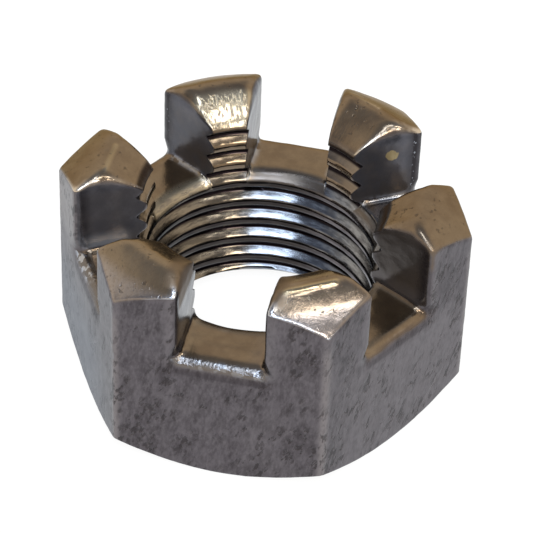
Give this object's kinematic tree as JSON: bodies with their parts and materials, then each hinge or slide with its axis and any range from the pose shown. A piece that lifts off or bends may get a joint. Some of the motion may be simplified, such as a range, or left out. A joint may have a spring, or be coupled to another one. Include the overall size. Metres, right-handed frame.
{
  "type": "castle nut",
  "caption": "Hexagonal nut with slots across its crown for a cotter pin and a threaded hole through it.",
  "frame": {"origin": "centre of the bearing face, on the thread's axis", "axes": "+Z along the thread towards the slotted crown, +X through a corner of the hexagon"},
  "size_m": [0.0238, 0.0206, 0.0132],
  "materials": {
    "oiled_steel": "satin, oiled, scuffed"
  },
  "bodies": {
    "root": {"castle_nut": "oiled_steel"}
  },
  "joints": []
}
